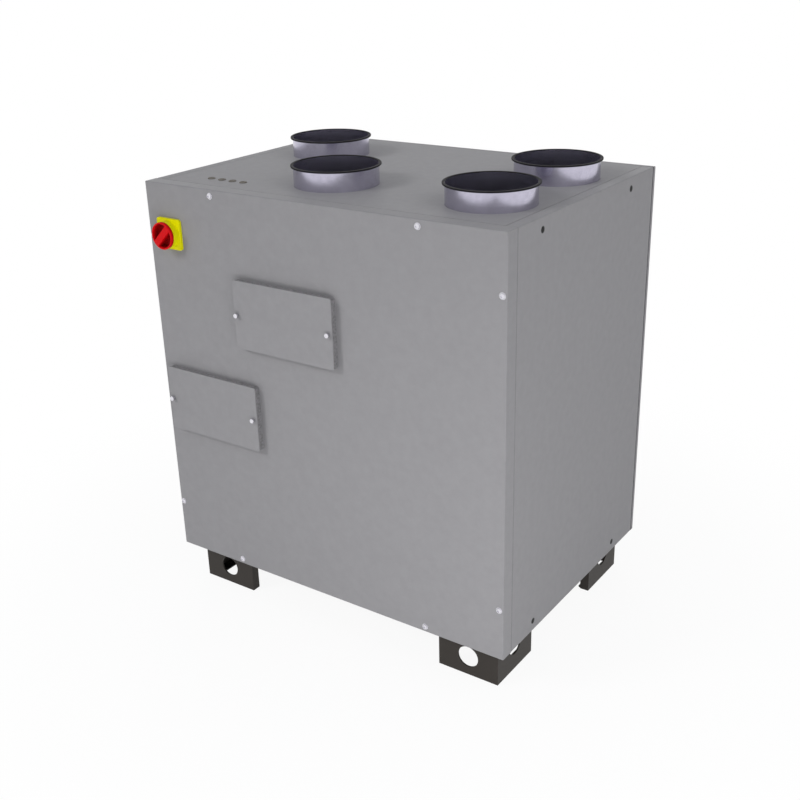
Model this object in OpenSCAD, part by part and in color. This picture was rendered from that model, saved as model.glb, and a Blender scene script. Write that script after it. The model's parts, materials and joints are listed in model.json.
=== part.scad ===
// Air handling unit: an insulated sheet steel cabinet on four corner feet,
// with four duct spigots on the roof, two screwed access covers and a rotary isolator.
// Millimetres. The floor is z = 0 and the front faces -Y.

/* [Cabinet] */
// Width of the cabinet across the front
cabinet_w = 800; // [700:1:1000]
// Depth of the cabinet from the front panel to the back panel
cabinet_d = 574; // [550:1:700]
// Height of the cabinet without feet and spigots
cabinet_h = 797; // [700:1:1000]
// Thickness of the folded steel sheet
sheet_t = 1.5; // [1:0.1:2]
// Outside radius of the folded edges
bend_r = 2.5; // [2.1:0.1:4]
// Open line between two neighbouring skins
seam = 1; // [0.5:0.1:2]
// Depth of the front panel's folded returns
front_return = 30; // [20:1:40]
// Depth of the back panel's folded returns
back_return = 10; // [6:1:20]
// Width of the side skins' folded flanges
side_flange = 22; // [15:1:28]
// Thickness of the insulation behind every skin
insulation_t = 28; // [24:1:40]
// Thickness of the inner partitions
partition_t = 12; // [6:1:16]
// Long partition's middle in front of the cabinet's middle
partition_forward = 21.5; // [0:0.5:25]

/* [Spigots] */
// Outside diameter of the spigot collars
spigot_d = 160; // [140:1:175]
// Wall thickness of the spigot collars
spigot_wall = 1; // [0.8:0.1:2]
// Height of the spigot rims above the roof
spigot_h = 38; // [30:1:60]
// Width of the flange that holds a collar under the roof
spigot_flange = 8; // [5:1:10]
// How far the rubber lip stands out from the collar
lip_out = 4.5; // [2:0.5:8]
// Height of the rubber edge above the collar's metal rim
lip_cap = 1.5; // [1:0.5:5]
// Length of the rubber skirt down the outside of the collar
lip_skirt = 1.5; // [1:0.5:8]
// Free depth between the front spigots' seats and the long partition
front_row_gap = 15.5; // [2:0.5:20]
// Front left spigot's centre to the left of the cabinet's middle
front_left_spigot_x = 53; // [0:1:100]
// Free width between the front right spigot's seat and the right insulation
front_right_gap = 2.5; // [0.5:0.5:30]
// Free width between the rear left spigot's seat and the left insulation
rear_left_gap = 32.5; // [0.5:0.5:80]
// Free width between the rear right spigot's seat and the right insulation
rear_right_gap = 0.5; // [0.5:0.5:30]
// Free depth between the rear spigots' seats and the long partition
rear_row_gap = 30.5; // [2:0.5:50]

/* [Access covers] */
// Width of an access cover
cover_w = 233; // [200:1:260]
// Height of an access cover
cover_h = 135; // [110:1:160]
// Thickness of the cover plate
cover_t = 2; // [1.5:0.1:4]
// Corner radius of the cover plate
cover_r = 4; // [1:0.5:10]
// Thickness of the foam gasket that holds the cover off the panel
gasket_t = 12; // [6:1:20]
// Width of the gasket's strip
gasket_w = 15; // [10:1:25]
// How far the gasket sits back from the cover's edge
gasket_inset = 1; // [0.5:0.5:4]
// Upper cover's left edge from the left side of the cabinet
upper_cover_x = 220; // [180:1:400]
// Upper cover's top edge from the top of the cabinet
upper_cover_z = 161; // [150:1:180]
// Lower cover's left edge from the left side of the cabinet
lower_cover_x = 22; // [20:1:300]
// Lower cover's top edge from the top of the cabinet
lower_cover_z = 373; // [345:1:400]

/* [Isolator] */
// Side length of the square isolator plate
isolator_size = 60; // [55:1:76]
// Thickness of the isolator plate
isolator_t = 6; // [6:1:14]
// Corner radius of the isolator plate
isolator_r = 5; // [2:0.5:10]
// Isolator's centre from the left side of the cabinet
isolator_x = 57; // [50:0.5:90]
// Isolator's centre from the top of the cabinet
isolator_z = 96; // [60:1:100]
// Height of the round bezel on the plate
bezel_h = 12.5; // [8:0.5:16]
// Wall thickness of the bezel
bezel_wall = 2; // [1:0.5:2.5]
// How far the bezel stands out round the knob's disc
bezel_out = 0.5; // [-2:0.5:1]
// Diameter of the knob's disc in front of the bezel
knob_d = 53; // [50:1:56]
// Thickness of the knob's disc
knob_h = 6.5; // [4:0.5:10]
// Radius of the knob's front edge
knob_edge_r = 1.2; // [0.4:0.2:1.8]
// Wall thickness of the hub around the knob's two pockets
knob_rim = 1; // [1:0.5:3]
// Depth of the knob's pockets on both sides of its grip
pocket_depth = 14; // [6:1:15]
// Width of the knob's grip bar
grip_w = 13; // [8:1:18]
// Angle of the grip bar from upright
grip_angle = 45; // [0:5:90]
// Diameter of the spindle
spindle_d = 8; // [5:0.5:12]

/* [Feet] */
// Height of the feet
foot_h = 88; // [70:1:120]
// Length of each foot plate along the cabinet
foot_len = 131; // [110:1:160]
// Thickness of the foot plates
foot_t = 3; // [2:0.5:5]
// Depth of the foot's top flanges
foot_flange = 25; // [15:1:35]
// Depth of the foot's end lips
foot_lip = 19; // [10:1:30]
// Foot plates from the cabinet's sides
foot_side_inset = 29; // [26:1:60]
// Front foot plates from the cabinet's front
foot_front_inset = 33; // [32:1:60]
// Back foot plates from the cabinet's back
foot_back_inset = 24; // [18:1:60]
// Diameter of the lifting bar holes
foot_hole_d = 44; // [30:1:50]
// Height of the end plates' lifting bar holes above the floor, to their centres
foot_hole_z = 40; // [35:1:45]
// Strip of a side plate left above its lifting bar hole
foot_side_strip = 8; // [2:0.5:10]

/* [Cable grommets] */
// How many grommets there are in the row
grommet_count = 4; // [1:1:6]
// Diameter of a grommet's collar
grommet_d = 15; // [10:1:22]
// Height of a grommet's collar above the roof
grommet_h = 2; // [1:0.5:4]
// Distance between grommets
grommet_pitch = 27; // [24:1:30]
// First grommet's centre from the left side of the cabinet
grommet_x = 102; // [60:1:120]
// Grommets' centres from the front of the cabinet
grommet_y = 78; // [60:1:90]

/* [Clearances] */
// Gap round a collar in the roof skin
collar_clear = 0.3; // [0.2:0.1:1]
// Gap round a collar's flange in the insulation
flange_clear = 1; // [0.5:0.5:3]
// Gap round the insulated plug behind an access cover
plug_clear = 1; // [0.5:0.5:3]
// Gap between the knob and the plate, and between the knob and the bezel's rim
knob_clear = 0.4; // [0.3:0.1:1]
// Gap round the knob's hub in the bezel
hub_clear = 0.5; // [0.3:0.1:1]
// Gap round the spindle
spindle_clear = 0.3; // [0.2:0.1:0.6]

/* [Hidden] */
$fn = 96;

paint = "#939396";
foam = "#3a3a3d";
steel = "#c8ccd4";
rubber = "#202022";
foot_black = "#3c3834";

// How much a cut runs past the face that it opens
over = 1;

// The cabinet's own axes start at the middle of its underside
knob_front = isolator_t + knob_clear + bezel_h + knob_h;
cabinet_y = knob_front / 2;
half_w = cabinet_w / 2;
front_y = -cabinet_d / 2;
back_y = cabinet_d / 2;

// The body lies between the front and back panels' returns
body_front = front_y + front_return + seam;
body_back = back_y - back_return - seam;
roof_half_w = half_w - side_flange - seam;

// Inner faces of the insulation
inner_half_w = half_w - sheet_t - insulation_t;
inner_back = back_y - sheet_t - insulation_t;
inner_bottom = sheet_t + insulation_t;
inner_top = cabinet_h - sheet_t - insulation_t;

// Spigots stand in two rows, in front of the long partition and behind it
long_partition_y = -partition_forward;
collar_r = spigot_d / 2;
bore_r = collar_r - spigot_wall;
flange_r = collar_r + spigot_flange;
seat_r = flange_r + flange_clear;
front_row_y = long_partition_y - partition_t / 2 - seat_r - front_row_gap;
rear_row_y = long_partition_y + partition_t / 2 + seat_r + rear_row_gap;
front_left_spigot = [-front_left_spigot_x, front_row_y];
front_right_spigot = [inner_half_w - seat_r - front_right_gap, front_row_y];
rear_left_spigot = [-inner_half_w + seat_r + rear_left_gap, rear_row_y];
rear_right_spigot = [inner_half_w - seat_r - rear_right_gap, rear_row_y];

// The cross partitions stand half way between neighbouring spigots
front_cross_x = (front_left_spigot.x + front_right_spigot.x) / 2;
rear_cross_x = (rear_left_spigot.x + rear_right_spigot.x) / 2;

// Access covers, as the lower left corner of each cover plate
upper_cover = [-half_w + upper_cover_x, cabinet_h - upper_cover_z - cover_h];
lower_cover = [-half_w + lower_cover_x, cabinet_h - lower_cover_z - cover_h];
opening_margin = gasket_inset + gasket_w;

// The knob's hub turns inside the bezel
isolator = [-half_w + isolator_x, cabinet_h - isolator_z];
hub_r = knob_d / 2 + bezel_out - bezel_wall - hub_clear;

// Moves a shape from the cabinet's axes to the part's
module in_cabinet() {
    translate([0, cabinet_y, foot_h])
        children();
}

// A box between two opposite corners
module block(low, high) {
    translate(low)
        cube(high - low);
}

// A rectangle with round corners, its lower left corner at the origin
module round_rectangle(size, r) {
    translate([r, 0])
        square([size.x - 2 * r, size.y]);
    translate([0, r])
        square([size.x, size.y - 2 * r]);
    for (x = [r, size.x - r], y = [r, size.y - r])
        translate([x, y])
            circle(r);
}

// A shape drawn as seen from the front, standing out from the plane y by depth
module on_front(y, depth) {
    translate([0, y, 0])
        rotate([90, 0, 0])
            linear_extrude(depth)
                children();
}

// The rectangular hole behind an access cover, seen from the front
module access_opening(corner, gap = 0) {
    translate(corner + [opening_margin + gap, opening_margin + gap])
        square([cover_w, cover_h] - 2 * [opening_margin + gap, opening_margin + gap]);
}

// Section across a folded panel: a face with a return at each end, filled in
module fold_section(width, depth, r) {
    translate([r, 0])
        square([width - 2 * r, depth]);
    translate([0, r])
        square([width, depth - r]);
    for (x = [r, width - r])
        translate([x, r])
            circle(r);
}

// A block with its face at z = 0 and round edges along all four sides of that face
module folded_block(size, depth, r) {
    intersection() {
        translate([0, size.y, 0])
            rotate([90, 0, 0])
                linear_extrude(size.y)
                    fold_section(size.x, depth, r);
        rotate([90, 0, 90])
            linear_extrude(size.x)
                fold_section(size.y, depth, r);
    }
}

// The room inside a folded tray, deep enough to reach depth from the tray's face
module tray_room(size, depth) {
    translate([sheet_t, sheet_t, sheet_t])
        folded_block(size - 2 * [sheet_t, sheet_t], depth - sheet_t, bend_r - sheet_t);
}

// A tray folded from one sheet, with its face at z = 0 and its returns up to z = depth
module tray(size, depth) {
    difference() {
        folded_block(size, depth, bend_r);
        tray_room(size, depth + over);
    }
}

// Stands a tray up as the front of the cabinet, as its back or as its right side
module as_front() {
    translate([-half_w, front_y, 0])
        mirror([0, 1, 0])
            rotate([90, 0, 0])
                children();
}

module as_back() {
    translate([-half_w, back_y, 0])
        rotate([90, 0, 0])
            children();
}

module as_right_side() {
    translate([half_w, body_front, 0])
        mirror([1, 0, 0])
            rotate([90, 0, 90])
                children();
}

// Folded panels
module front_panel() {
    color(paint)
        in_cabinet()
            difference() {
                as_front()
                    tray([cabinet_w, cabinet_h], front_return);
                on_front(front_y + sheet_t + over, sheet_t + 2 * over) {
                    access_opening(upper_cover);
                    access_opening(lower_cover);
                }
                on_front(front_y + sheet_t + over, sheet_t + 2 * over)
                    translate(isolator)
                        circle(spindle_d / 2 + spindle_clear);
            }
}

module back_panel() {
    color(paint)
        in_cabinet()
            as_back()
                tray([cabinet_w, cabinet_h], back_return);
}

// Right-hand side skin: a shallow tray whose flanges turn inwards
module side_skin() {
    in_cabinet()
        as_right_side()
            tray([body_back - body_front, cabinet_h], side_flange);
}

module right_side_skin() {
    color(paint)
        side_skin();
}

module left_side_skin() {
    color(paint)
        mirror([1, 0, 0])
            side_skin();
}

module roof_skin() {
    color(paint)
        in_cabinet()
            translate([0, 0, cabinet_h - sheet_t])
                linear_extrude(sheet_t)
                    difference() {
                        translate([-roof_half_w, body_front])
                            square([2 * roof_half_w, body_back - body_front]);
                        for (p = [front_left_spigot, front_right_spigot, rear_left_spigot, rear_right_spigot])
                            translate(p)
                                circle(collar_r + collar_clear);
                    }
}

module base_skin() {
    color(paint)
        in_cabinet()
            block([-roof_half_w, body_front, 0], [roof_half_w, body_back, sheet_t]);
}

// Insulation
module front_insulation() {
    color(foam)
        in_cabinet()
            difference() {
                as_front()
                    tray_room([cabinet_w, cabinet_h], front_return + seam);
                on_front(body_front + over, front_return + seam + 2 * over) {
                    access_opening(upper_cover);
                    access_opening(lower_cover);
                }
            }
}

module back_insulation() {
    color(foam)
        in_cabinet()
            block([-inner_half_w, inner_back, inner_bottom], [inner_half_w, back_y - sheet_t, inner_top]);
}

// Right-hand side insulation, which fills the side skin's tray
module side_insulation() {
    in_cabinet()
        as_right_side()
            tray_room([body_back - body_front, cabinet_h], sheet_t + insulation_t);
}

module right_insulation() {
    color(foam)
        side_insulation();
}

module left_insulation() {
    color(foam)
        mirror([1, 0, 0])
            side_insulation();
}

module base_insulation() {
    color(foam)
        in_cabinet()
            block([-inner_half_w, body_front, sheet_t], [inner_half_w, body_back, inner_bottom]);
}

// One quarter of the roof insulation, with a round seat for a spigot's flange
module roof_insulation(low, high, spigot) {
    color(foam)
        in_cabinet()
            translate([0, 0, inner_top])
                linear_extrude(insulation_t)
                    difference() {
                        translate(low)
                            square(high - low);
                        translate(spigot)
                            circle(seat_r);
                    }
}

module roof_insulation_front_left() {
    roof_insulation([-inner_half_w, body_front], [front_cross_x, long_partition_y], front_left_spigot);
}

module roof_insulation_front_right() {
    roof_insulation([front_cross_x, body_front], [inner_half_w, long_partition_y], front_right_spigot);
}

module roof_insulation_rear_left() {
    roof_insulation([-inner_half_w, long_partition_y], [rear_cross_x, body_back], rear_left_spigot);
}

module roof_insulation_rear_right() {
    roof_insulation([rear_cross_x, long_partition_y], [inner_half_w, body_back], rear_right_spigot);
}

// Partitions that keep the four air paths apart
module long_partition() {
    color(foam)
        in_cabinet()
            block(
                [-inner_half_w, long_partition_y - partition_t / 2, inner_bottom],
                [inner_half_w, long_partition_y + partition_t / 2, inner_top]
            );
}

module cross_partition(x, front, back) {
    color(foam)
        in_cabinet()
            block([x - partition_t / 2, front, inner_bottom], [x + partition_t / 2, back, inner_top]);
}

module front_cross_partition() {
    cross_partition(front_cross_x, body_front, long_partition_y - partition_t / 2);
}

module rear_cross_partition() {
    cross_partition(rear_cross_x, long_partition_y + partition_t / 2, inner_back);
}

// Access covers: a plate on a foam gasket, with an insulated plug behind it
module access_cover(corner) {
    color(paint)
        in_cabinet()
            on_front(front_y - gasket_t, cover_t)
                translate(corner)
                    round_rectangle([cover_w, cover_h], cover_r);
}

module access_gasket(corner) {
    color(rubber)
        in_cabinet()
            on_front(front_y, gasket_t)
                difference() {
                    translate(corner + [gasket_inset, gasket_inset])
                        round_rectangle([cover_w, cover_h] - 2 * [gasket_inset, gasket_inset], cover_r);
                    access_opening(corner);
                }
}

module access_plug(corner) {
    color(foam)
        in_cabinet()
            on_front(body_front, body_front - front_y + gasket_t)
                access_opening(corner, plug_clear);
}

module upper_access_cover() {
    access_cover(upper_cover);
}

module upper_access_gasket() {
    access_gasket(upper_cover);
}

module upper_access_plug() {
    access_plug(upper_cover);
}

module lower_access_cover() {
    access_cover(lower_cover);
}

module lower_access_gasket() {
    access_gasket(lower_cover);
}

module lower_access_plug() {
    access_plug(lower_cover);
}

// Isolator
module isolator_plate() {
    color("#d8d800")
        in_cabinet()
            on_front(front_y, isolator_t)
                difference() {
                    translate(isolator - [isolator_size, isolator_size] / 2)
                        round_rectangle([isolator_size, isolator_size], isolator_r);
                    translate(isolator)
                        circle(spindle_d / 2 + spindle_clear);
                }
}

// Round bezel on the plate, in which the knob turns
module isolator_bezel() {
    color("#d8d800")
        in_cabinet()
            translate([isolator.x, front_y - isolator_t, isolator.y])
                rotate([90, 0, 0])
                    rotate_extrude()
                        translate([hub_r + hub_clear, 0])
                            square([bezel_wall, bezel_h]);
}

// Half section of the knob: a hub, and a disc with a round front edge
module knob_section() {
    square([hub_r, bezel_h + knob_h - knob_edge_r]);
    translate([0, bezel_h])
        square([knob_d / 2, knob_h - knob_edge_r]);
    translate([0, bezel_h])
        square([knob_d / 2 - knob_edge_r, knob_h]);
    translate([knob_d / 2 - knob_edge_r, bezel_h + knob_h - knob_edge_r])
        intersection() {
            circle(knob_edge_r);
            square(knob_edge_r);
        }
}

// Knob: two pockets leave a rim and a grip bar, and a short spindle runs through the plate
module isolator_knob() {
    color("#d01018")
        in_cabinet()
            translate([isolator.x, front_y, isolator.y]) {
                difference() {
                    translate([0, -isolator_t - knob_clear, 0])
                        rotate([90, 0, 0])
                            rotate_extrude()
                                knob_section();
                    on_front(pocket_depth - knob_front, pocket_depth + over)
                        difference() {
                            circle(hub_r - knob_rim);
                            rotate(-grip_angle)
                                square([grip_w, knob_d], center = true);
                        }
                }
                on_front(sheet_t, sheet_t + isolator_t + knob_clear + over)
                    circle(spindle_d / 2);
            }
}

// Spigots: a round collar held by a flange under the roof skin
module collar(spigot) {
    metal_top = spigot_h - lip_cap;
    color(steel)
        in_cabinet()
            translate([spigot.x, spigot.y, cabinet_h])
                rotate_extrude()
                    polygon([
                        [bore_r, -2 * sheet_t], [flange_r, -2 * sheet_t], [flange_r, -sheet_t],
                        [collar_r, -sheet_t], [collar_r, metal_top], [bore_r, metal_top]
                    ]);
}

// Rubber edge on a collar's rim, with a lip that a duct folds back
module seal(spigot) {
    metal_top = spigot_h - lip_cap;
    lip_r = collar_r + lip_out;
    skirt_r = collar_r + lip_out / 3;
    color(rubber)
        in_cabinet()
            translate([spigot.x, spigot.y, cabinet_h])
                rotate_extrude()
                    polygon([
                        [bore_r + spigot_wall / 2, metal_top], [collar_r, metal_top],
                        [collar_r, metal_top - lip_skirt], [skirt_r, metal_top - lip_skirt],
                        [lip_r, metal_top], [lip_r, spigot_h - lip_cap / 2],
                        [skirt_r, spigot_h], [bore_r + spigot_wall / 2, spigot_h]
                    ]);
}

module front_left_collar() {
    collar(front_left_spigot);
}

module front_right_collar() {
    collar(front_right_spigot);
}

module rear_left_collar() {
    collar(rear_left_spigot);
}

module rear_right_collar() {
    collar(rear_right_spigot);
}

module front_left_seal() {
    seal(front_left_spigot);
}

module front_right_seal() {
    seal(front_right_spigot);
}

module rear_left_seal() {
    seal(rear_left_spigot);
}

module rear_right_seal() {
    seal(rear_right_spigot);
}

// Feet: each is an end plate and a side plate that meet at the corner.
// Both are drawn for the front right corner, from that corner to the middle of the cabinet.
module foot_end(inset) {
    plate_right = half_w - foot_side_inset;
    plate_left = plate_right - foot_len;
    plate_front = front_y + inset;
    color(foot_black)
        difference() {
            union() {
                block([plate_left, plate_front, 0], [plate_right, plate_front + foot_t, foot_h]);
                block([plate_left, plate_front, 0], [plate_left + foot_t, plate_front + foot_lip, foot_h]);
                block(
                    [plate_left, plate_front, foot_h - foot_t],
                    [plate_right, plate_front + foot_flange, foot_h]
                );
            }
            translate([plate_right - foot_len / 2, plate_front - over, foot_hole_z])
                rotate([-90, 0, 0])
                    cylinder(d = foot_hole_d, h = foot_t + 2 * over);
        }
}

module foot_side(inset) {
    plate_right = half_w - foot_side_inset;
    plate_front = front_y + inset + foot_t;
    plate_back = front_y + inset + foot_len;
    plate_top = foot_h - foot_t;
    hole_z = plate_top - foot_side_strip - foot_hole_d / 2;
    color(foot_black)
        difference() {
            union() {
                block([plate_right - foot_t, plate_front, 0], [plate_right, plate_back, plate_top]);
                block([plate_right - foot_lip, plate_back - foot_t, 0], [plate_right, plate_back, plate_top]);
                block(
                    [plate_right - foot_flange, front_y + inset + foot_flange, plate_top],
                    [plate_right, plate_back, foot_h]
                );
            }
            translate([plate_right + over, front_y + inset + foot_len / 2, hole_z])
                rotate([0, -90, 0])
                    cylinder(d = foot_hole_d, h = foot_t + 2 * over);
        }
}

// Moves a front right foot's plate to another corner: side and end are 1 or -1
module at_corner(side, end) {
    translate([0, cabinet_y, 0])
        mirror([side < 0 ? 1 : 0, 0, 0])
            mirror([0, end < 0 ? 1 : 0, 0])
                children();
}

module front_left_foot_end() {
    at_corner(-1, 1)
        foot_end(foot_front_inset);
}

module front_left_foot_side() {
    at_corner(-1, 1)
        foot_side(foot_front_inset);
}

module front_right_foot_end() {
    at_corner(1, 1)
        foot_end(foot_front_inset);
}

module front_right_foot_side() {
    at_corner(1, 1)
        foot_side(foot_front_inset);
}

module rear_left_foot_end() {
    at_corner(-1, -1)
        foot_end(foot_back_inset);
}

module rear_left_foot_side() {
    at_corner(-1, -1)
        foot_side(foot_back_inset);
}

module rear_right_foot_end() {
    at_corner(1, -1)
        foot_end(foot_back_inset);
}

module rear_right_foot_side() {
    at_corner(1, -1)
        foot_side(foot_back_inset);
}

// Cable grommets
module cable_grommets() {
    color(rubber)
        in_cabinet()
            for (i = [0 : grommet_count - 1])
                translate([-half_w + grommet_x + i * grommet_pitch, front_y + grommet_y, cabinet_h])
                    cylinder(d1 = grommet_d, d2 = grommet_d - grommet_h, h = grommet_h);
}

front_panel();
back_panel();
left_side_skin();
right_side_skin();
roof_skin();
base_skin();
front_insulation();
back_insulation();
left_insulation();
right_insulation();
base_insulation();
roof_insulation_front_left();
roof_insulation_front_right();
roof_insulation_rear_left();
roof_insulation_rear_right();
long_partition();
front_cross_partition();
rear_cross_partition();
upper_access_cover();
upper_access_gasket();
upper_access_plug();
lower_access_cover();
lower_access_gasket();
lower_access_plug();
isolator_plate();
isolator_bezel();
isolator_knob();
front_left_collar();
front_right_collar();
rear_left_collar();
rear_right_collar();
front_left_seal();
front_right_seal();
rear_left_seal();
rear_right_seal();
front_left_foot_end();
front_left_foot_side();
front_right_foot_end();
front_right_foot_side();
rear_left_foot_end();
rear_left_foot_side();
rear_right_foot_end();
rear_right_foot_side();
cable_grommets();
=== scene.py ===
# %% [markdown]
# Dressing an air handling unit
#
# The imported CAD model is the frame: every sheet, collar and foot already stands at its real size, in
# metres, with the floor at z = 0 and the front facing -Y. This lesson gives each surface its finish,
# bends the sheet edges, turns the round pieces smooth and adds the small fasteners.

# %% Load the frame
import json

import bmesh
import bpy
import numpy as np
from mathutils import Matrix, Vector


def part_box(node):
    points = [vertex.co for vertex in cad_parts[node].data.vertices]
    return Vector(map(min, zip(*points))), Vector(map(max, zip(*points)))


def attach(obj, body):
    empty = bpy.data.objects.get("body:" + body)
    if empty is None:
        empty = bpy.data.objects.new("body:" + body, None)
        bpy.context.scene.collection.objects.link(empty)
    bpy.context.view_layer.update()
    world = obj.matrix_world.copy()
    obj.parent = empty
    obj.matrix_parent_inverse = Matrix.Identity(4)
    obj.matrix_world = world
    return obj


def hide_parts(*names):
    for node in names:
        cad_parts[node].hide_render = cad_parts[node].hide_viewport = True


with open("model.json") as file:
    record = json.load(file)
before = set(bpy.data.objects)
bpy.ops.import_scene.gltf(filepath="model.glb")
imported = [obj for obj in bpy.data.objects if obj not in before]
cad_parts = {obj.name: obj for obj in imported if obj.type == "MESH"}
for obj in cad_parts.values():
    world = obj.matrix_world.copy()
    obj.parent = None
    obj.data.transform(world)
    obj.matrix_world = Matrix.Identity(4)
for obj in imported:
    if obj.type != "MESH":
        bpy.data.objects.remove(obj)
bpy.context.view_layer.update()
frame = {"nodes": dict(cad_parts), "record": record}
MM = 0.001

# %% [markdown]
# Where things are
#
# A node's box gives its place, so most sizes come from the frame and aren't typed again. The cabinet is
# the box from the front panel's face to the back panel's face, and most pieces are placed from its edges.

# %% Measure the cabinet
def corners(node):
    """Lowest and highest corner of a CAD node as arrays."""
    low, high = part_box(node)
    return np.array(low), np.array(high)


cabinet_low = corners("front_panel")[0]
cabinet_high = corners("back_panel")[1]
cabinet_mid = (cabinet_low + cabinet_high) / 2
cabinet_size = cabinet_high - cabinet_low
left, front, bottom = cabinet_low
right, back, top = cabinet_high
print("cabinet in mm:", np.round(cabinet_size / MM, 1))

# %% [markdown]
# The camera
#
# The photograph's view was worked out from the cabinet's corners: a 50 mm lens on a 36 mm sensor, from
# the front right and above, rolled a little. The camera could be aimed by hand, but stated angles give the
# same view each time. Its place is given from the middle of the cabinet's underside, and its axes come
# from the azimuth, elevation and roll.

# %% Make the camera
camera_azimuth = np.radians(35.27)
camera_elevation = np.radians(22.97)
camera_roll = np.radians(-1.57)
camera_from_cabinet = np.array([1.2242, -1.7538, 1.2302])


def camera_axes(azimuth, elevation, roll):
    """Right, up and back axes: back points to the camera, and roll turns the other two about it."""
    flat = np.cos(elevation)
    back_axis = np.array([np.sin(azimuth) * flat, -np.cos(azimuth) * flat, np.sin(elevation)])
    level = np.array([np.cos(azimuth), np.sin(azimuth), 0.0])
    upright = np.cross(back_axis, level)
    right_axis = np.cos(roll) * level + np.sin(roll) * upright
    up_axis = np.cos(roll) * upright - np.sin(roll) * level
    return right_axis, up_axis, back_axis


scene = bpy.context.scene
camera_data = bpy.data.cameras.new("camera")
camera_data.lens = 50
camera_data.sensor_width = 36
camera = bpy.data.objects.new("camera", camera_data)
scene.collection.objects.link(camera)
camera_place = np.array([cabinet_mid[0], cabinet_mid[1], bottom]) + camera_from_cabinet
turn = Matrix(np.array(camera_axes(camera_azimuth, camera_elevation, camera_roll)).T.tolist())
camera.matrix_world = Matrix.Translation(Vector(camera_place)) @ turn.to_4x4()
scene.camera = camera
print("camera at", np.round(camera_place, 3))

# %% [markdown]
# Studio light
#
# The unit stands in even light: the front is the brightest face, most of all near its foot, then come the
# side and the roof. Lamps alone could give that, but a pale world that is stronger overhead does much of
# it with softer shadows. Rays from the camera and from mirror-like metal see plain white instead, so the
# background is white with no extra light on the object.


# %% Tools for light
def sees_backdrop(tree):
    """1 for rays from the camera, from gloss and through glass, and 0 for rays that carry light."""
    path = tree.nodes.new("ShaderNodeLightPath")
    seen = path.outputs["Is Camera Ray"]
    for kind in ("Is Glossy Ray", "Is Transmission Ray"):
        either = tree.nodes.new("ShaderNodeMath")
        either.operation = "MAXIMUM"
        tree.links.new(seen, either.inputs[0])
        tree.links.new(path.outputs[kind], either.inputs[1])
        seen = either.outputs[0]
    return seen


def gradient(tree, source, stops):
    """Colour ramp over a value, with its two stops given as (position, colour)."""
    ramp = tree.nodes.new("ShaderNodeValToRGB")
    for element, (position, colour) in zip(ramp.color_ramp.elements, stops):
        element.position = position
        element.color = (*colour, 1)
    tree.links.new(source, ramp.inputs[0])
    return ramp.outputs[0]


# %% Build the world
horizon_level = 0.15
zenith_level = 0.48
zenith_tint = np.array([0.965, 1.0, 1.05])
zenith_from = 0.8
world = bpy.data.worlds.new("studio")
scene.world = world
scene.view_settings.view_transform = "Standard"
world.use_nodes = True
tree = world.node_tree
tree.nodes.clear()
direction = tree.nodes.new("ShaderNodeTexCoord")
height = tree.nodes.new("ShaderNodeSeparateXYZ")
tree.links.new(direction.outputs["Generated"], height.inputs[0])
sky = tree.nodes.new("ShaderNodeBackground")
sky_stops = [(0.0, np.full(3, horizon_level)), (zenith_from, zenith_level * zenith_tint)]
tree.links.new(gradient(tree, height.outputs["Z"], sky_stops), sky.inputs["Color"])
white = tree.nodes.new("ShaderNodeBackground")
white.inputs["Color"].default_value = (1, 1, 1, 1)
pick = tree.nodes.new("ShaderNodeMixShader")
tree.links.new(sees_backdrop(tree), pick.inputs["Fac"])
tree.links.new(sky.outputs[0], pick.inputs[1])
tree.links.new(white.outputs[0], pick.inputs[2])
world_out = tree.nodes.new("ShaderNodeOutputWorld")
tree.links.new(pick.outputs[0], world_out.inputs["Surface"])
print("world: horizon", horizon_level, "zenith", zenith_level)

# %% [markdown]
# Lamps
#
# A low, wide strip lifts the front, a key lamp from the upper left gives the covers and the isolator their
# shadows, and two more light the side and the back. Small lamps would throw hard shadows, so all four are
# broad panels. They are hidden from gloss, so they leave no bright patches in the metal.


# %% Hang the lamps
def softbox(name, place, aim, width, tall, watts):
    """A rectangular lamp that shines from place towards aim and doesn't show in gloss."""
    data = bpy.data.lights.new(name, "AREA")
    data.shape = "RECTANGLE"
    data.size = width
    data.size_y = tall
    data.energy = watts
    lamp = bpy.data.objects.new(name, data)
    scene.collection.objects.link(lamp)
    lamp.location = place
    lamp.rotation_euler = (Vector(aim) - Vector(place)).to_track_quat("-Z", "Y").to_euler()
    lamp.visible_camera = False
    lamp.visible_glossy = False
    print(name, watts, "W")


low_front = (0.2, front, 0.15)
softbox("key_softbox", place=(-5.0, -7.0, 6.0), aim=cabinet_mid, width=3.0, tall=3.0, watts=350)
softbox("front_strip", place=(0.9, -1.35, 0.22), aim=low_front, width=1.8, tall=0.4, watts=7.9)
softbox("side_softbox", place=(2.8, -0.3, 2.4), aim=cabinet_mid, width=2.4, tall=2.4, watts=26.8)
softbox("back_softbox", place=(-1.8, 2.8, 0.6), aim=cabinet_mid, width=2.4, tall=2.4, watts=45)

# %% [markdown]
# Meshes from rings
#
# Every new piece is made of rings, such as the outline of a plate at several depths or a profile turned
# about an axis. Its points are one array, and its faces follow from the number of rings and of points in
# a ring alone. Extruding and bevelling step by step would give like shapes, but an array states each one
# as a formula.

# %% Tools for meshes
smooth_limit = np.radians(32)


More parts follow.
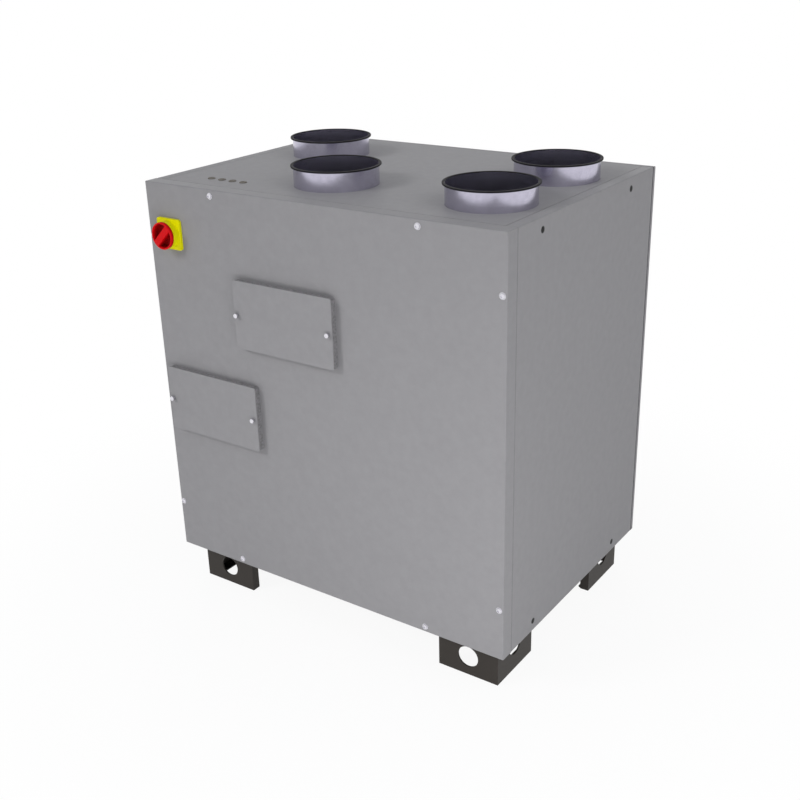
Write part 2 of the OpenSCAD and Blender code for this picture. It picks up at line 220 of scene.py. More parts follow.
def shell_faces(rows, cols, copies=1):
    """Faces of closed shells of rings: quads join ring i to ring i + 1, and one face caps each end."""
    ring = np.arange(rows - 1)[:, None] * cols
    side = np.arange(cols)[None, :]
    following = (side + 1) % cols
    quads = np.stack([ring + side, ring + following, ring + cols + following, ring + cols + side], -1)
    starts = np.arange(copies) * rows * cols
    faces = (quads.reshape(1, -1, 4) + starts[:, None, None]).reshape(-1, 4).tolist()
    faces += (np.arange(cols)[::-1] + starts[:, None]).tolist()
    faces += (np.arange(cols) + (rows - 1) * cols + starts[:, None]).tolist()
    return faces


def outward_mesh(name, points, faces, sharp, weld=0.0):
    """Mesh with points within weld merged and faces that look outwards, smooth up to an edge angle."""
    mesh = bpy.data.meshes.new(name)
    mesh.from_pydata(points.reshape(-1, 3).tolist(), [], faces)
    work = bmesh.new()
    work.from_mesh(mesh)
    if weld:
        bmesh.ops.remove_doubles(work, verts=work.verts, dist=weld)
    bmesh.ops.recalc_face_normals(work, faces=work.faces)
    work.to_mesh(mesh)
    work.free()
    mesh.shade_smooth()
    mesh.set_sharp_from_angle(angle=sharp)
    return mesh


def shell_mesh(name, rings, sharp=smooth_limit):
    """Mesh of closed shells from points in the order (copies, rings, points in a ring, 3)."""
    rings = rings.reshape((-1,) + rings.shape[-3:])
    copies, rows, cols, _ = rings.shape
    return outward_mesh(name, rings, shell_faces(rows, cols, copies), sharp)


print("a shell of 3 rings with 4 points each has", len(shell_faces(3, 4)), "faces")


# %% Tool for adding a piece
def add_piece(name, mesh, finish, body="cabinet", replaced=()):
    """Puts a mesh into the scene as a piece that rides on a body and takes the given finish."""
    piece = bpy.data.objects.new(name, mesh)
    scene.collection.objects.link(piece)
    mesh.materials.append(finish)
    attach(piece, body)
    if replaced:
        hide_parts(*replaced)
    print(name, len(mesh.polygons), "faces")


# %% [markdown]
# The floor
#
# A pale disc carries the unit's shadow. A shadow catcher could do that too, but it needs a second picture
# to lie over, so this floor is an ordinary surface. To the camera it is mostly plain white with a share of
# a matt finish that keeps the shadow, and further out it fades into the same white as the background, so
# no horizon line shows. To the light it is matt all over. The disc is a grid of radius and angle.

# %% Shape the floor
floor_radius = 14.0


def floor_points(radius, rings=24, sides=96):
    """Disc at z = 0: ring i has radius R * (i / n) squared, so the rings are close near the unit."""
    reach = radius * (np.arange(1, rings + 1) / rings) ** 2
    angle = np.linspace(0, 2 * np.pi, sides, endpoint=False)
    flat = reach[:, None] * np.array([np.cos(angle), np.sin(angle)])[:, None, :]
    return np.stack([flat[0], flat[1], np.zeros_like(flat[0])], -1)


disc = floor_points(floor_radius)
print("floor rings and points in a ring:", disc.shape[:2])

# %% Finish the floor
fade_start = 0.40
fade_end = 1.30
least_white = 0.92
matt_white = (0.95, 0.95, 0.95, 1)


def floor_finish():
    """Matt pale floor that turns into plain white by its distance from the unit."""
    material = bpy.data.materials.new("pale_floor")
    material.use_nodes = True
    tree = material.node_tree
    tree.nodes.clear()
    place = tree.nodes.new("ShaderNodeTexCoord")
    distance = tree.nodes.new("ShaderNodeVectorMath")
    distance.operation = "LENGTH"
    tree.links.new(place.outputs["Object"], distance.inputs[0])
    fade = tree.nodes.new("ShaderNodeMapRange")
    fade.interpolation_type = "SMOOTHSTEP"
    fade.inputs["From Min"].default_value = fade_start
    fade.inputs["From Max"].default_value = fade_end
    fade.inputs["To Min"].default_value = least_white
    tree.links.new(distance.outputs["Value"], fade.inputs["Value"])
    chosen = tree.nodes.new("ShaderNodeMath")
    chosen.operation = "MULTIPLY"
    tree.links.new(fade.outputs[0], chosen.inputs[0])
    tree.links.new(sees_backdrop(tree), chosen.inputs[1])
    matt = tree.nodes.new("ShaderNodeBsdfDiffuse")
    matt.inputs["Color"].default_value = matt_white
    plain = tree.nodes.new("ShaderNodeEmission")
    plain.inputs["Color"].default_value = (1, 1, 1, 1)
    mix = tree.nodes.new("ShaderNodeMixShader")
    tree.links.new(chosen.outputs[0], mix.inputs["Fac"])
    tree.links.new(matt.outputs[0], mix.inputs[1])
    tree.links.new(plain.outputs[0], mix.inputs[2])
    out = tree.nodes.new("ShaderNodeOutputMaterial")
    tree.links.new(mix.outputs[0], out.inputs["Surface"])
    return material


pale_floor = floor_finish()
print(pale_floor.name, "fades to white from", fade_start, "to", fade_end, "m")

# %% Lay the floor
floor_mesh = bpy.data.meshes.new("floor")
floor_mesh.from_pydata(disc.reshape(-1, 3).tolist(), [], shell_faces(*disc.shape[:2])[:-1])
floor_mesh.materials.append(pale_floor)
floor = bpy.data.objects.new("floor", floor_mesh)
scene.collection.objects.link(floor)
print("floor", len(floor_mesh.polygons), "faces")

# %% [markdown]
# Finishes
#
# Each finish is a small tree of nodes on Object coordinates, in metres, so its grain has the real size on
# every piece. An image could hold such grain too, but noise needs no unwrapping and never repeats. Values
# that are the same everywhere sit on the shader itself.


# %% Tools for finishes
def new_finish(name, colour, rough, gloss=0.5, metallic=0.0):
    """A material with a Principled shader, and its node tree and shader."""
    material = bpy.data.materials.new(name)
    material.use_nodes = True
    tree = material.node_tree
    shader = tree.nodes["Principled BSDF"]
    shader.inputs["Base Color"].default_value = (*colour, 1)
    shader.inputs["Roughness"].default_value = rough
    shader.inputs["Specular IOR Level"].default_value = gloss
    shader.inputs["Metallic"].default_value = metallic
    return material, tree, shader


def grain(tree, per_metre, detail=3.0, stretch=(1, 1, 1)):
    """Noise on Object coordinates, with a number of grains per metre, and stretch for lines."""
    place = tree.nodes.new("ShaderNodeTexCoord")
    mapping = tree.nodes.new("ShaderNodeMapping")
    mapping.inputs["Scale"].default_value = stretch
    noise = tree.nodes.new("ShaderNodeTexNoise")
    noise.inputs["Scale"].default_value = per_metre
    noise.inputs["Detail"].default_value = detail
    tree.links.new(place.outputs["Object"], mapping.inputs["Vector"])
    tree.links.new(mapping.outputs["Vector"], noise.inputs["Vector"])
    return noise.outputs["Fac"]


# %% Tools for varying a finish
grain_low = 0.3
grain_high = 0.7


def tinted(colour, factor):
    """A colour made lighter or darker by a factor."""
    return tuple(min(1.0, channel * factor) for channel in colour)


def vary_colour(tree, shader, source, colour, dark, light):
    """Base colour that runs between two factors of a colour as a grain goes from low to high."""
    stops = [(grain_low, tinted(colour, dark)), (grain_high, tinted(colour, light))]
    tree.links.new(gradient(tree, source, stops), shader.inputs["Base Color"])


def vary_roughness(tree, shader, source, smooth, rough):
    """Roughness that runs from smooth to rough with a grain."""
    spread = tree.nodes.new("ShaderNodeMapRange")
    spread.inputs["To Min"].default_value = smooth
    spread.inputs["To Max"].default_value = rough
    tree.links.new(source, spread.inputs["Value"])
    tree.links.new(spread.outputs[0], shader.inputs["Roughness"])


def add_bump(tree, shader, source, depth, strength):
    """Relief of a grain, with depth in metres."""
    bump = tree.nodes.new("ShaderNodeBump")
    bump.inputs["Strength"].default_value = strength
    bump.inputs["Distance"].default_value = depth
    tree.links.new(source, bump.inputs["Height"])
    tree.links.new(bump.outputs["Normal"], shader.inputs["Normal"])


# %% [markdown]
# Powder coats
#
# The cabinet is powder coated grey and the feet brown-black: a satin skin with a fine orange peel. One
# even colour would look like card. Here a fine noise bends the light as the peel does, a coarser one
# varies the gloss, and the coarsest one the colour, by a few parts in a hundred.


# %% Mix the powder coats
def powder_coat(name, colour, rough, gloss):
    """Satin powder coat: orange peel of about a millimetre, with a faint cloud of light and dark."""
    material, tree, shader = new_finish(name, colour, rough, gloss)
    cloud = grain(tree, per_metre=60.0, detail=6.0)
    vary_colour(tree, shader, cloud, colour, dark=0.97, light=1.03)
    patches = grain(tree, per_metre=240.0)
    vary_roughness(tree, shader, patches, smooth=rough - 0.06, rough=rough + 0.06)
    peel = grain(tree, per_metre=900.0, detail=2.0)
    add_bump(tree, shader, peel, depth=0.05 * MM, strength=0.5)
    return material


cabinet_paint = powder_coat("cabinet_paint", (0.287, 0.281, 0.290), rough=0.52, gloss=0.14)
foot_paint = powder_coat("foot_paint", (0.034, 0.029, 0.025), rough=0.50, gloss=0.20)
print("powder coats:", cabinet_paint.name, foot_paint.name)

# %% [markdown]
# Metals
#
# The spigots and the bright screws are zinc-coated steel, a little cloudy and faintly drawn into lines.
# The flat screws are blackened. An anisotropic shader could stretch the highlights, but the lines are so
# faint that noise in the roughness is enough. On the collars it is stretched, so its lines run round them.


# %% Mix the metals
def zinc_steel(name, colour, rough, lines):
    """Bright zinc-coated steel: drawing lines, a cloudy gloss and a little matt scatter from the coat."""
    material, tree, shader = new_finish(name, colour, rough, metallic=0.97)
    cloud = grain(tree, per_metre=90.0, detail=4.0)
    vary_colour(tree, shader, cloud, colour, dark=0.94, light=1.05)
    drawn = grain(tree, per_metre=500.0, detail=2.0, stretch=lines)
    vary_roughness(tree, shader, drawn, smooth=0.7 * rough, rough=1.3 * rough)
    return material


def black_oxide(name, colour, rough, gloss):
    """Blackened steel: dark and dull, with a patchy gloss."""
    material, tree, shader = new_finish(name, colour, rough, gloss)
    patches = grain(tree, per_metre=700.0)
    vary_roughness(tree, shader, patches, smooth=rough - 0.08, rough=rough + 0.08)
    return material


collar_steel = zinc_steel("collar_steel", (0.55, 0.53, 0.64), rough=0.22, lines=(0.05, 0.05, 1))
screw_steel = zinc_steel("screw_steel", (0.74, 0.73, 0.78), rough=0.22, lines=(1, 1, 1))
black_steel = black_oxide("black_steel", (0.006, 0.006, 0.006), rough=0.38, gloss=0.1)
print("metals:", collar_steel.name, screw_steel.name, black_steel.name)

# %% [markdown]
# Rubber and foam
#
# The rubber edges, the gaskets, the grommets and the insulation have a matt skin that is never quite even.
# Pores could be real dents in the mesh, but they are only about a millimetre wide, so bump serves, on a
# coarser cloud of light and dark.


# %% Mix the rubber and foam
def rubber_or_foam(name, colour, pores, depth, rough):
    """Matt rubber or foam: pores of a given number to the metre on a coarser cloud of light and dark."""
    material, tree, shader = new_finish(name, colour, rough, gloss=0.06)
    cloud = grain(tree, per_metre=0.3 * pores)
    vary_colour(tree, shader, cloud, colour, dark=0.8, light=1.25)
    skin = grain(tree, per_metre=pores, detail=4.0)
    add_bump(tree, shader, skin, depth, strength=0.6)
    return material


seal_colour = (0.018, 0.017, 0.019)
gasket_colour = (0.235, 0.23, 0.238)
foam_colour = (0.050, 0.047, 0.058)
grommet_colour = (0.200, 0.185, 0.165)
seal_rubber = rubber_or_foam("seal_rubber", seal_colour, pores=1500.0, depth=0.03 * MM, rough=0.55)
gasket_foam = rubber_or_foam("gasket_foam", gasket_colour, pores=700.0, depth=0.25 * MM, rough=0.85)
wall_foam = rubber_or_foam("wall_foam", foam_colour, pores=500.0, depth=0.3 * MM, rough=0.9)
grommet_rubber = rubber_or_foam("grommet_rubber", grommet_colour, pores=1500.0, depth=0.03 * MM, rough=0.6)
print("soft finishes:", seal_rubber.name, gasket_foam.name, wall_foam.name, grommet_rubber.name)

# %% [markdown]
# Plastics
#
# The isolator is moulded in a strong yellow and a strong red, with a low gloss and a very fine texture.
# The pockets of the knob are deep, so little light comes back from them. The red sinks with the depth
# behind the face as painted shade that deepens this. Their faces could have a darker material, but that
# would end in a hard line.


# %% Mix the plastics
def moulded_plastic(name, colour, rough):
    """Moulded plastic of a strong colour with a very fine texture and a low gloss."""
    material, tree, shader = new_finish(name, colour, rough, gloss=0.08)
    cloud = grain(tree, per_metre=120.0)
    vary_colour(tree, shader, cloud, colour, dark=0.97, light=1.02)
    texture = grain(tree, per_metre=1800.0, detail=2.0)
    add_bump(tree, shader, texture, depth=0.02 * MM, strength=0.35)
    return material


isolator_yellow = moulded_plastic("isolator_yellow", (0.80, 0.76, 0.002), rough=0.34)
isolator_red = moulded_plastic("isolator_red", (0.66, 0.004, 0.007), rough=0.34)
print("plastics:", isolator_yellow.name, isolator_red.name)


# %% Paint shade into the knob's pockets
def paint_pocket_shade(material, face_y, shallow, deep, share):
    """Painted shade: colour that sinks to a share of itself between two depths behind y = face_y."""
    tree = material.node_tree
    shader = tree.nodes["Principled BSDF"]
    colour = shader.inputs["Base Color"].links[0].from_socket
    place = tree.nodes.new("ShaderNodeTexCoord")
    axes = tree.nodes.new("ShaderNodeSeparateXYZ")
    tree.links.new(place.outputs["Object"], axes.inputs[0])
    fall = tree.nodes.new("ShaderNodeMapRange")
    fall.inputs["From Min"].default_value = face_y + shallow
    fall.inputs["From Max"].default_value = face_y + deep
    fall.inputs["To Min"].default_value = 1.0
    fall.inputs["To Max"].default_value = share
    tree.links.new(axes.outputs["Y"], fall.inputs["Value"])
    shade = tree.nodes.new("ShaderNodeVectorMath")
    shade.operation = "SCALE"
    tree.links.new(colour, shade.inputs[0])
    tree.links.new(fall.outputs[0], shade.inputs["Scale"])
    tree.links.new(shade.outputs[0], shader.inputs["Base Color"])


knob_face = corners("isolator_knob")[0][1]
# Painted shade in the knob's pockets: the red falls to 0.55 of itself from 2.5 mm to 7 mm behind the face.
paint_pocket_shade(isolator_red, knob_face, shallow=2.5 * MM, deep=7 * MM, share=0.55)
print("knob's face at y in mm:", round(knob_face / MM, 1))

# %% [markdown]
# Finishes on the CAD nodes
#
# Finishes could be given node by node, but the record names a material slot for every node, so one table
# of slot to finish covers the whole frame. The nodes that are replaced later get theirs too, which does
# no harm.

# %% Paint the frame
finish_of_slot = {
    "cabinet_paint": cabinet_paint,
    "insulation_foam": wall_foam,
    "gasket_foam": gasket_foam,
    "spigot_steel": collar_steel,
    "seal_rubber": seal_rubber,
    "foot_paint": foot_paint,
    "isolator_yellow": isolator_yellow,
    "isolator_red": isolator_red,
    "grommet_rubber": grommet_rubber,
}
for subpart in frame["record"]["subparts"]:
    node = frame["nodes"][subpart["node"]]
    node.data.materials.clear()
    node.data.materials.append(finish_of_slot[subpart["material_slot"]])

# %% [markdown]
# Folded panels
#
# The front, the back and both sides are trays, each folded from one sheet: its edge is bent over a small
# radius and runs back as a return. A box with bevelled edges would look alike from outside but would have
# no open back, so each tray is a profile of the folded edge carried round the outline of the panel.

# %% Tools for plates
flat_rim = 0.6 * MM
X, Y, Z = np.eye(3)


def outline_rings(size, corner, profile, per_corner=5):
    """Rings round a rectangle with round corners, one for each (inset, depth) of the profile.

    A point is sign * (half size - max(corner, inset)) + max(corner - inset, least) * (cos a, sin a),
    with its depth.
    """
    least = 0.02 * MM
    quarter = np.linspace(0, np.pi / 2, per_corner)
    a = np.concatenate([quarter + turn * np.pi / 2 for turn in range(4)])
    sign = np.repeat([[1, 1], [-1, 1], [-1, -1], [1, -1]], per_corner, axis=0)
    inset = np.asarray(profile)[:, 0][:, None, None]
    depth = np.asarray(profile)[:, 1][:, None, None]
    round_part = np.maximum(corner - inset, least) * np.stack([np.cos(a), np.sin(a)], -1)
    flat = sign * (np.asarray(size) / 2 - np.maximum(corner, inset)) + round_part
    return np.concatenate([flat, np.broadcast_to(depth, flat.shape[:2] + (1,))], -1)


def placed(points, origin, across, up, deep):
    """Moves (across, up, deep) points to the part's axes."""
    return np.asarray(origin) + points @ np.array([across, up, deep], float)


print("points round a plate:", outline_rings(size=(1, 1), corner=0.1, profile=[(0, 0)]).shape[1])

# %% Shape the folded edge
sheet_thickness = 1.5 * MM
bend_radius = 2.5 * MM


def extent(node):
    """Size of a CAD node's box along X, Y and Z."""
    low, high = corners(node)
    return high - low


def folded_edge(depth, sheet, bend, steps=6):
    """Profile of a folded edge as (inset, depth) pairs.

    A quarter circle of the bend's radius leads from the face to the return, the return runs to its cut
    edge, and a quarter circle smaller by the sheet's thickness leads back along the inside. A short flat
    stretch beside each circle keeps the shading of the wide faces flat.
    """
    a = np.linspace(0, np.pi / 2, steps + 1)
    outside = np.stack([bend - bend * np.sin(a), bend - bend * np.cos(a)], 1)
    inner = bend - sheet
    inside = np.stack([bend - inner * np.sin(a[::-1]), bend - inner * np.cos(a[::-1])], 1)
    start = bend + flat_rim
    cut_edge = [[0, start], [0, depth], [sheet, depth], [sheet, start]]
    return np.concatenate([[[start, 0]], outside, cut_edge, inside, [[start, sheet]]])


front_depth = extent("front_panel")[1]
back_depth = extent("back_panel")[1]
side_depth = extent("right_side_skin")[0]
print("returns in mm:", [round(depth / MM, 1) for depth in (front_depth, back_depth, side_depth)])

# %% Fold the panels
corner_radius = 1.2 * MM


def tray(name, face_mid, size, depth, across, deep, node):
    """A folded tray for a panel node: its face is centred on face_mid and its returns run along deep."""
    rings = outline_rings(size, corner_radius, folded_edge(depth, sheet_thickness, bend_radius))
    mesh = shell_mesh(name, placed(rings, face_mid, across, Z, deep))
    add_piece(name, mesh, cabinet_paint, replaced=[node])


side_low, side_high = corners("right_side_skin")
side_mid = (side_low + side_high) / 2
side_size = extent("right_side_skin")[1:]
front_size = (cabinet_size[0], cabinet_size[2])
front_mid = (cabinet_mid[0], front, cabinet_mid[2])
back_mid = (cabinet_mid[0], back, cabinet_mid[2])
right_mid = (right, side_mid[1], side_mid[2])
left_mid = (left, side_mid[1], side_mid[2])
tray("front_tray", front_mid, front_size, front_depth, X, Y, "front_panel")
tray("back_tray", back_mid, front_size, back_depth, X, -Y, "back_panel")
tray("right_side_tray", right_mid, side_size, side_depth, Y, -X, "right_side_skin")
tray("left_side_tray", left_mid, side_size, side_depth, Y, X, "left_side_skin")

# %% [markdown]
# Seals and painted shade in the seams
#
# The front and back panels close against the body on a thin strip of foam. It has the insulation's dark
# finish and also stands in for the shade in the gap, as painted shade, so a fine dark line shows in the
# seam all round. A line painted on the sheet would have no depth, so the strip is a small section carried
# round the panel's outline and joined to itself.

# %% Lay the seals
seal_sunk = 0.3 * MM
seal_clear = 0.05 * MM


def tube_mesh(name, rings, sharp=smooth_limit):
    """Mesh of a tube whose last ring lies on its first, joined there, so it has no caps."""
    rows, cols, _ = rings.shape
    return outward_mesh(name, rings, shell_faces(rows, cols)[:-2], sharp, weld=0.001 * MM)


def seal_and_shade_strip(name, start_y, end_y):
    """A strip of dark foam in a seam between two y planes, a seal and painted shade: a small section round
    the cabinet, sunk a little.
    """
    deep = sheet_thickness - seal_clear
    wide = end_y - start_y
    section = [(seal_sunk, 0), (deep, 0), (deep, wide), (seal_sunk, wide), (seal_sunk, 0)]
    rings = outline_rings(front_size, corner_radius, section)
    mesh = tube_mesh(name, placed(rings, (cabinet_mid[0], start_y, cabinet_mid[2]), X, Z, Y))
    add_piece(name, mesh, wall_foam)


# Dark foam strips: partly a seal, partly painted shade in the gaps of the seams.
seal_and_shade_strip("front_seal_and_shade_strip", front + front_depth, side_low[1])
seal_and_shade_strip("back_seal_and_shade_strip", side_high[1], back - back_depth)

# %% [markdown]
# Access covers
#
# Each cover is a stiff plate with a softly broken front edge, on a thick grey gasket. A cube with a Bevel
# modifier would round its back edge too, so the plate is again a profile carried round a rectangle.

# %% Make the cover plates
cover_places = ("upper", "lower")
cover_corner = 4 * MM
cover_edge = 0.3 * MM


def rounded_slab(depth, edge, steps=4):
    """Profile of a plate: a quarter circle on the front edge, a straight side and a square back edge."""
    a = np.linspace(0, np.pi / 2, steps + 1)
    nose = np.stack([edge - edge * np.sin(a), edge - edge * np.cos(a)], 1)
    return np.concatenate([[[edge + flat_rim, 0]], nose, [[0, depth]]])


for place in cover_places:
    name = place + "_cover_plate"
    node_name = place + "_access_cover"
    low, high = corners(node_name)
    middle = (low + high) / 2
    profile = rounded_slab(high[1] - low[1], cover_edge)
    rings = outline_rings((high - low)[[0, 2]], cover_corner, profile, per_corner=9)
    mesh = shell_mesh(name, placed(rings, (middle[0], low[1], middle[2]), X, Z, Y))
    add_piece(name, mesh, cabinet_paint, replaced=[node_name])

# %% [markdown]
# Spigots
#
# A spigot is a thin collar with a rubber edge, which sits on its rim and stands out as a narrow lip that a
# duct folds back. A cylinder with a Solidify modifier would give the wall but not the flange under the
# roof, so both are profiles of radius and height turned about an upright axis.


# %% Tools for turning
def turned(profile, sides=96, waves=6):
    """Rings of a turned shape: (r cos a, r sin a, h), with r = radius * (1 + wave * cos(waves * a)).

    The profile holds (radius, height) or (radius, height, wave) rows.
    """
    rows = np.asarray(profile, float)
    wave = rows[:, 2] if rows.shape[1] > 2 else np.zeros(len(rows))
    a = np.linspace(0, 2 * np.pi, sides, endpoint=False)
    r = rows[:, :1] * (1 + wave[:, None] * np.cos(waves * a))
    return np.stack([r * np.cos(a), r * np.sin(a), np.broadcast_to(rows[:, 1:2], r.shape)], -1)


def closed_turned(section, sides=96):
    """Rings of a turned tube whose section is a closed loop: the last ring lies on the first."""
    return turned(np.concatenate([section, section[:1]]), sides)


print("points round a turned ring:", turned([(1, 0)]).shape[1])

# %% Shape the spigots
collar_radius = 80 * MM
collar_wall = 1.0 * MM
bore_radius = collar_radius - collar_wall
seat_radius = bore_radius + collar_wall / 2
lip_edge = 0.7 * MM


def collar_section(flange_radius, under, rim):
    """Section of a collar as (radius, height): a tube with a flange that lies under the roof's sheet."""
    return np.array([
        (bore_radius, under), (flange_radius, under), (flange_radius, -sheet_thickness),
        (collar_radius, -sheet_thickness), (collar_radius, rim), (bore_radius, rim),
    ])


def lip_section(lip_radius, rim, skirt, crown):
    """Section of the rubber edge: a cap on the collar's rim with a skirt outside it and broken edges."""
    near = 0.3 * lip_edge
    inner = 0.4 * lip_edge
    return np.array([
        (seat_radius, rim), (collar_radius, rim), (collar_radius, skirt), (lip_radius - lip_edge, skirt),
        (lip_radius - near, skirt + near), (lip_radius, skirt + lip_edge), (lip_radius, crown - lip_edge),
        (lip_radius - near, crown - near), (lip_radius - lip_edge, crown), (seat_radius + inner, crown),
        (seat_radius, crown - inner),
    ])


print("bore of a collar in mm:", round(2 * bore_radius / MM, 1))

# %% Turn the spigots
unit_quarters = ("front_left", "front_right", "rear_left", "rear_right")
spigot_sides = 160
lip_smooth_limit = np.radians(60)
for place in unit_quarters:
    low, high = corners(place + "_collar")
    seal_low, seal_high = corners(place + "_seal")
    roof_place = ((low[0] + high[0]) / 2, (low[1] + high[1]) / 2, top)
    rim = high[2] - top
    section = collar_section((high[0] - low[0]) / 2, low[2] - top, rim)
    rings = placed(closed_turned(section, spigot_sides), roof_place, X, Y, Z)
    metal = tube_mesh(place + "_spigot", rings)
    add_piece(place + "_spigot", metal, collar_steel, replaced=[place + "_collar"])
    section = lip_section((seal_high[0] - seal_low[0]) / 2, rim, seal_low[2] - top, seal_high[2] - top)
    rings = placed(closed_turned(section, spigot_sides), roof_place, X, Y, Z)
    edge = tube_mesh(place + "_lip", rings, sharp=lip_smooth_limit)
    add_piece(place + "_lip", edge, seal_rubber, replaced=[place + "_seal"])

# %% [markdown]
# The isolator
#
# A square yellow plate carries a round yellow bezel, and the red knob turns in it. The knob is moulded in
# one piece: a disc on a hub, with a grip bar left between two deep pockets. It could be cut out with
# booleans, but a height over the disc gives the soft draft of a moulding: the height drops by the
# pocket's depth wherever a point lies off the bar and inside the rim.


# %% Tool for soft steps
def ease(q):
    """Smooth step from 0 to 1: 3 q squared - 2 q cubed, held flat outside 0 to 1."""
    q = np.clip(q, 0, 1)
    return q * q * (3 - 2 * q)


print("ease at 0, a half and 1:", ease(np.array([0, 0.5, 1])))


# %% Shape the knob
def knob_rings(radius, length, disc, hub, rim, pocket, grip, grip_angle, sides=240, face_rings=90):
    """Rings of the knob from the middle of its face over the disc's edge and down the hub to its back.

    On the face the height is
    length - pocket * ease((|t| - grip / 2) / draft) * ease((rim - r) / draft),
    where t is the distance across the grip bar. A quarter circle leads to the disc's side, and a step to
    the hub.
    """
    draft = 1.3 * MM
    edge = 1.2 * MM
    broken = 0.4 * MM
    innermost = 0.1 * MM
    a = np.linspace(0, 2 * np.pi, sides, endpoint=False)
    r = np.linspace(innermost, radius - edge, face_rings)[:, None]
    across = r * np.cos(a + grip_angle)
    sunk = ease((np.abs(across) - grip / 2) / draft) * ease((rim - r) / draft)
    face = np.stack([r * np.cos(a), r * np.sin(a), length - pocket * sunk], -1)
    bend = np.linspace(0, np.pi / 2, 6)[1:]
    over_edge = np.stack([radius - edge + edge * np.sin(bend), length - edge + edge * np.cos(bend)], 1)
    step = length - disc
    behind = [
        (radius, step + broken), (radius - broken, step), (hub, step), (hub, broken), (hub - broken, 0),
    ]
    return np.concatenate([face, turned(np.concatenate([over_edge, behind]), sides)])


# %% Make the isolator's knob
plate_low, plate_high = corners("isolator_plate")
plate_mid = (plate_low + plate_high) / 2
knob_low, knob_high = corners("isolator_knob")
bezel_low, bezel_high = corners("isolator_bezel")
knob_radius = (knob_high[0] - knob_low[0]) / 2
bezel_radius = (bezel_high[0] - bezel_low[0]) / 2
bezel_wall = 2 * MM
hub_clear = 0.5 * MM
hub_wall = 1 * MM
hub_radius = bezel_radius - bezel_wall - hub_clear
pocket_radius = hub_radius - hub_wall
pocket_depth = 14 * MM
disc_thickness = 6.5 * MM
grip_width = 13 * MM
grip_angle = np.radians(45)
knob_clear = 0.4 * MM
knob_back = plate_low[1] - knob_clear
knob_length = knob_back - knob_low[1]
rings = knob_rings(
    knob_radius, knob_length, disc_thickness, hub_radius, pocket_radius, pocket_depth, grip_width,
    grip_angle,
)
knob = shell_mesh("isolator_handle", placed(rings, (plate_mid[0], knob_back, plate_mid[2]), X, Z, -Y))
add_piece("isolator_handle", knob, isolator_red, body="knob", replaced=["isolator_knob"])

# %% [markdown]
# The isolator's plate and bezel
#
# The plate is a thick moulding with round corners and a soft front edge, so the profile of the covers
# serves again with a larger round. The bezel is a short tube with broken edges. It could be drawn out of
# the plate's own mesh, but the outline of the plate and the circle of the bezel share no points, so it is
# a turned piece of its own.

# %% Make the isolator's plate and bezel
plate_corner = 5 * MM
plate_edge = 1.6 * MM
profile = rounded_slab(plate_high[1] - plate_low[1], plate_edge)
rings = outline_rings((plate_high - plate_low)[[0, 2]], plate_corner, profile, per_corner=9)
plate = shell_mesh("isolator_face", placed(rings, (plate_mid[0], plate_low[1], plate_mid[2]), X, Z, Y))
add_piece("isolator_face", plate, isolator_yellow, replaced=["isolator_plate"])
bezel_height = bezel_high[1] - bezel_low[1]
bezel_bore = bezel_radius - bezel_wall
broken = 0.5 * MM
section = np.array([
    (bezel_bore, 0), (bezel_radius, 0), (bezel_radius, bezel_height - broken),
    (bezel_radius - broken, bezel_height), (bezel_bore + broken, bezel_height),
    (bezel_bore, bezel_height - broken),
])
rings = placed(closed_turned(section), (plate_mid[0], bezel_high[1], plate_mid[2]), X, Z, -Y)
bezel = tube_mesh("isolator_ring", rings)
add_piece("isolator_ring", bezel, isolator_yellow, replaced=["isolator_bezel"])

# %% [markdown]
# Cable grommets
#
# Four low rubber grommets stand in a row on the roof. A squashed ball would look like a button, so each
# is turned from a profile: a round bead with a dished middle.

# %% Turn the grommets
grommet_count = 4
low, high = corners("cable_grommets")
grommet_radius = (high[1] - low[1]) / 2
grommet_height = high[2] - low[2]
grommet_x = np.linspace(low[0] + grommet_radius, high[0] - grommet_radius, grommet_count)
bead_shares = np.array([(1, 0), (1, 0.3), (0.93, 0.75), (0.8, 1), (0.62, 0.95), (0.5, 0.5), (0.2, 0.4)])
bead = turned(bead_shares * (grommet_radius, grommet_height), sides=32)
rings = np.stack([placed(bead, (x, low[1] + grommet_radius, low[2]), X, Y, Z) for x in grommet_x])
row = shell_mesh("grommet_row", rings)
add_piece("grommet_row", row, grommet_rubber, replaced=["cable_grommets"])

# %% [markdown]
# Foot ledges
#
# The side plate of a foot is folded in at the floor as it is under the base, so the unit stands on a
# ledge and not on a cut edge. The ledge shows through the hole of the left front foot. A cube would do for
# it, but its sharp edges would catch no light, so the profile of the covers serves again, laid flat.

# %% Lay the foot ledges
foot_thickness = 3 * MM
ledge_edge = 0.4 * MM
ledges = []
for place in unit_quarters:
    low, high = corners(place + "_foot_side")
    outward = 1 if "right" in place else -1
    size = np.array([high[0] - low[0] - foot_thickness, high[1] - low[1] - 2 * foot_thickness])
    middle_x = (low[0] + high[0] - outward * foot_thickness) / 2
    middle = (middle_x, (low[1] + high[1]) / 2, low[2] + foot_thickness)
    rings = outline_rings(size, foot_thickness, rounded_slab(foot_thickness, ledge_edge))
    ledges.append(placed(rings, middle, X, Y, -Z))
add_piece("foot_ledges", shell_mesh("foot_ledges", np.stack(ledges)), foot_paint)

# %% [markdown]
# Screws
#
# Bright button-head screws with washers hold the front panel, and knurled thumbscrews the covers. The
# sides and the back have flat dark heads that lie almost flush. They could be instances of one object,
# but the export writes each piece's own mesh, so the screws of one kind on one face are one mesh of many
# closed shells. They are turned shapes too, and a wave in the radius makes the socket and the knurl.

# %% Shape the button heads
socket_wave = 0.14


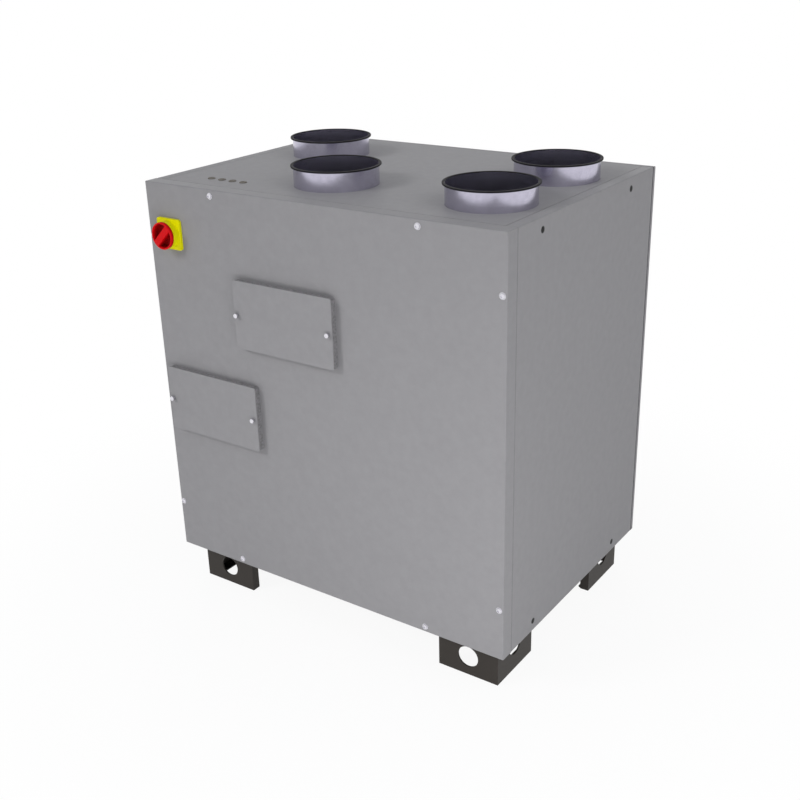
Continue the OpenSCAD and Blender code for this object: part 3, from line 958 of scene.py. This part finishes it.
def button_head(radius, height):
    """Profile of a button head on a washer, with a six-lobed socket: (radius, height, wave) rows."""
    washer = 1.25 * radius
    washer_height = 0.9 * MM
    a = np.linspace(0, np.pi / 2, 7)
    flat = 0.5 * radius
    dome = np.stack([flat + (radius - flat) * np.cos(a), washer_height + height * np.sin(a), 0 * a], 1)
    rim = [
        (washer, 0, 0), (washer, 0.7 * washer_height, 0), (washer - 0.3 * washer_height, washer_height, 0),
        (radius, washer_height, 0),
    ]
    socket = [
        (0.42 * radius, washer_height + height, socket_wave),
        (0.40 * radius, washer_height + 0.4 * height, socket_wave),
        (0.02 * radius, washer_height + 0.35 * height, 0),
    ]
    return np.concatenate([rim, dome, socket])


bright = turned(button_head(radius=5 * MM, height=3 * MM), sides=48)
print("points on a button head:", bright.size // 3)

# %% Shape the flat and knurled heads
knurl_wave = 0.03


def flat_head(radius, height):
    """Profile of a flat head that stands a little proud: a broken edge, a flat and a six-lobed socket."""
    shares = np.array([
        (0.96, 0, 0), (1, 0.4, 0), (0.94, 1, 0), (0.5, 1, 0), (0.44, 1, socket_wave),
        (0.40, 0.2, socket_wave), (0.02, 0.15, 0),
    ])
    return shares * (radius, height, 1)


def thumb_head(radius, height):
    """Profile of a knurled thumbscrew: a plain neck, a knurled head with broken edges and a dished end."""
    shares = np.array([
        (0.62, 0, 0), (0.62, 0.22, 0), (0.9, 0.24, 0), (1, 0.3, knurl_wave), (1, 0.9, knurl_wave),
        (0.92, 0.97, 0), (0.84, 1, 0), (0.6, 1, 0), (0.5, 0.94, 0), (0.05, 0.92, 0),
    ])
    return shares * (radius, height, 1)


dark = turned(flat_head(radius=6 * MM, height=0.3 * MM), sides=48)
thumb = turned(thumb_head(radius=4.6 * MM, height=8 * MM), sides=96, waves=24)
print("points on a flat and a knurled head:", dark.size // 3, thumb.size // 3)

# %% Drive the front and back screws
screw_smooth_limit = np.radians(40)


def screws(name, rings, places, out, finish):
    """One piece of many screws: copies of the rings at places on a face that looks along out."""
    across = Y if out[0] else X
    shells = np.stack([placed(rings, place, across, Z, out) for place in places])
    add_piece(name, shell_mesh(name, shells, sharp=screw_smooth_limit), finish)


row_x = 231 * MM
edge_z = 12 * MM
edge_x = 9 * MM
column_z = 105 * MM
rows_x = (cabinet_mid[0] - row_x, cabinet_mid[0] + row_x)
rows_z = (bottom + edge_z, top - edge_z)
columns_x = (left + edge_x, right - edge_x)
columns_z = (bottom + column_z, top - column_z)
front_places = [(x, z) for x in rows_x for z in rows_z]
front_places += [(x, z) for x in columns_x for z in columns_z]
screws("front_screws", bright, [(x, front, z) for x, z in front_places], -Y, screw_steel)
screws("back_screws", dark, [(x, back, z) for x, z in front_places], Y, black_steel)

# %% Drive the side screws
side_y = 174 * MM
side_z = 22 * MM
sides_y = (cabinet_mid[1] - side_y, cabinet_mid[1] + side_y)
sides_z = (bottom + side_z, top - side_z)
side_places = [(y, z) for y in sides_y for z in sides_z]
screws("right_screws", dark, [(right, y, z) for y, z in side_places], X, black_steel)
screws("left_screws", dark, [(left, y, z) for y, z in side_places], -X, black_steel)

# %% Fit the thumbscrews
thumb_inset = 8 * MM
thumb_places = []
for place in cover_places:
    low, high = corners(place + "_access_cover")
    middle_z = (low[2] + high[2]) / 2
    thumb_places += [(x, low[1], middle_z) for x in (low[0] + thumb_inset, high[0] - thumb_inset)]
screws("cover_thumbscrews", thumb, thumb_places, -Y, screw_steel)
